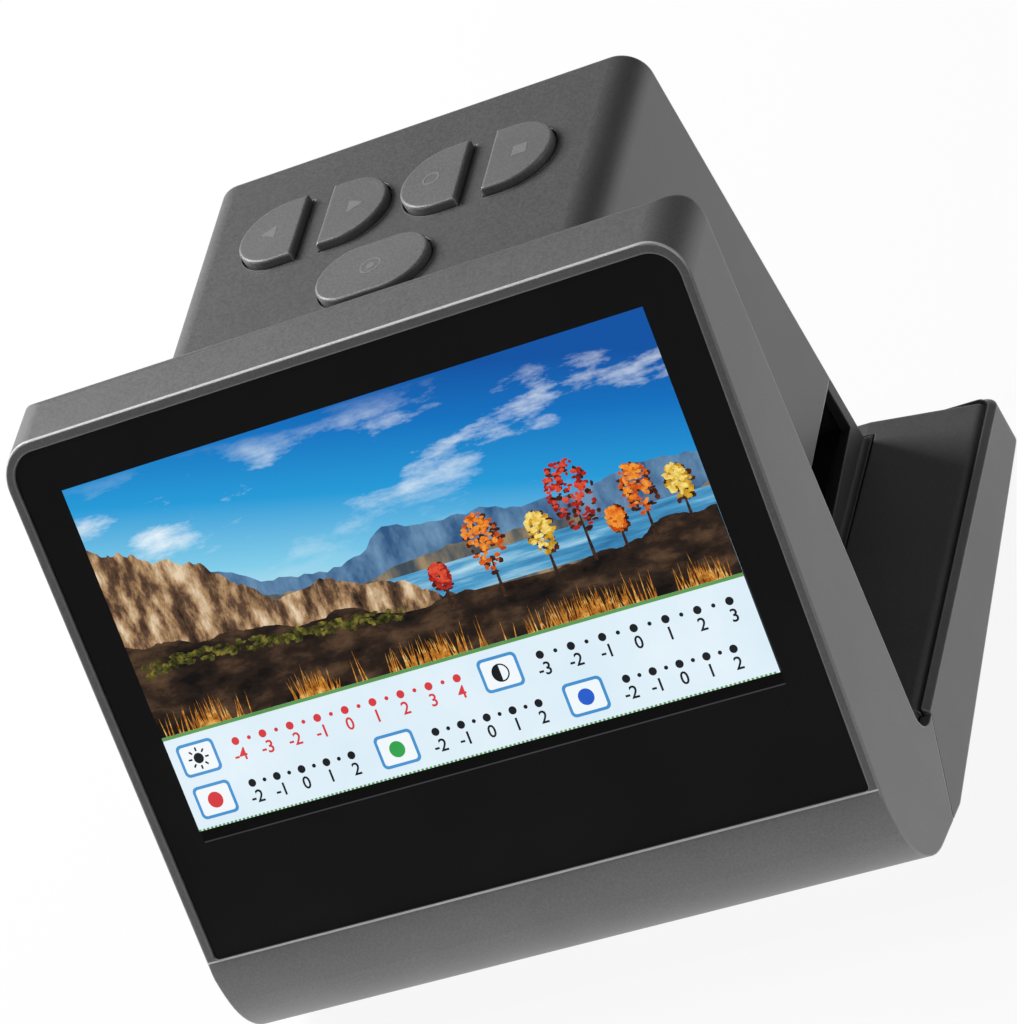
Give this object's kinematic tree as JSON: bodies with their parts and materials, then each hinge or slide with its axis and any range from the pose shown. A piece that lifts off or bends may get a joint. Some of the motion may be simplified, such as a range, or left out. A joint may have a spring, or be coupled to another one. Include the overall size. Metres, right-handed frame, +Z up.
{
  "type": "film negative scanner",
  "caption": "Desktop film negative scanner: leaning colour display in front, column with a through film slot and five keys on top, low base with sloping wings",
  "frame": {"origin": "middle of the footprint at table height, on the underside of the rubber feet", "axes": "+Z up, +X to the right as seen by a user in front of the display, +Y away from the user to the back"},
  "size_m": [0.1344, 0.1216, 0.1145],
  "materials": {
    "housing": "charcoal ABS, fine moulded texture",
    "deck": "dark charcoal ABS, fine moulded texture",
    "key": "charcoal key plastic, fine moulded texture",
    "window": "clear cover with a black printed border",
    "lcd": "liquid crystal panel",
    "inner_black": "black inner moulding",
    "inner_white": "white light box plastic",
    "rubber": "soft foot rubber",
    "steel": "zinc plated steel",
    "board": "green solder resist",
    "ribbon": "amber film ribbon",
    "led": "white lamp package",
    "lens": "coated lens glass",
    "switch": "tactile switch",
    "sensor": "image sensor package"
  },
  "bodies": {
    "scanner_body": {"display_housing": "housing", "display_back": "housing", "base_housing": "housing", "wing_deck": "deck", "column_housing": "housing", "column_foot": "deck", "bottom_cover": "housing", "rubber_feet": "rubber", "cover_screws": "steel", "display_window": "window", "lcd_panel": "lcd", "lcd_frame": "inner_black", "lcd_ribbon": "ribbon", "main_board": "board", "main_board_screws": "steel", "key_board": "board", "key_board_screws": "steel", "key_switches": "switch", "gate_floor": "inner_black", "gate_top": "inner_black", "diffuser": "inner_white", "light_box": "inner_white", "led_board": "board", "leds": "led", "holder_click_spring": "steel", "lens_holder": "inner_black", "lens_barrel": "inner_black", "lens_glass": "lens", "camera_plate": "inner_black", "camera_posts": "inner_black", "sensor_board": "board", "image_sensor": "sensor", "io_board": "board", "usb_socket": "steel", "hdmi_socket": "steel", "card_socket": "steel"},
    "key_outer_left_body": {"key_outer_left": "key"},
    "key_inner_left_body": {"key_inner_left": "key"},
    "key_inner_right_body": {"key_inner_right": "key"},
    "key_outer_right_body": {"key_outer_right": "key"},
    "key_long_front_body": {"key_long_front": "key"}
  },
  "joints": [
    {"name": "key_outer_left_press", "type": "slide", "parent": "scanner_body", "child": "key_outer_left_body", "axis": [0, 0, -1], "range_m": [0, 0.0005], "stiffness_N_per_m": 400},
    {"name": "key_inner_left_press", "type": "slide", "parent": "scanner_body", "child": "key_inner_left_body", "axis": [0, 0, -1], "range_m": [0, 0.0005], "stiffness_N_per_m": 400},
    {"name": "key_inner_right_press", "type": "slide", "parent": "scanner_body", "child": "key_inner_right_body", "axis": [0, 0, -1], "range_m": [0, 0.0005], "stiffness_N_per_m": 400},
    {"name": "key_outer_right_press", "type": "slide", "parent": "scanner_body", "child": "key_outer_right_body", "axis": [0, 0, -1], "range_m": [0, 0.0005], "stiffness_N_per_m": 400},
    {"name": "key_long_front_press", "type": "slide", "parent": "scanner_body", "child": "key_long_front_body", "axis": [0, 0, -1], "range_m": [0, 0.0005], "stiffness_N_per_m": 400}
  ]
}
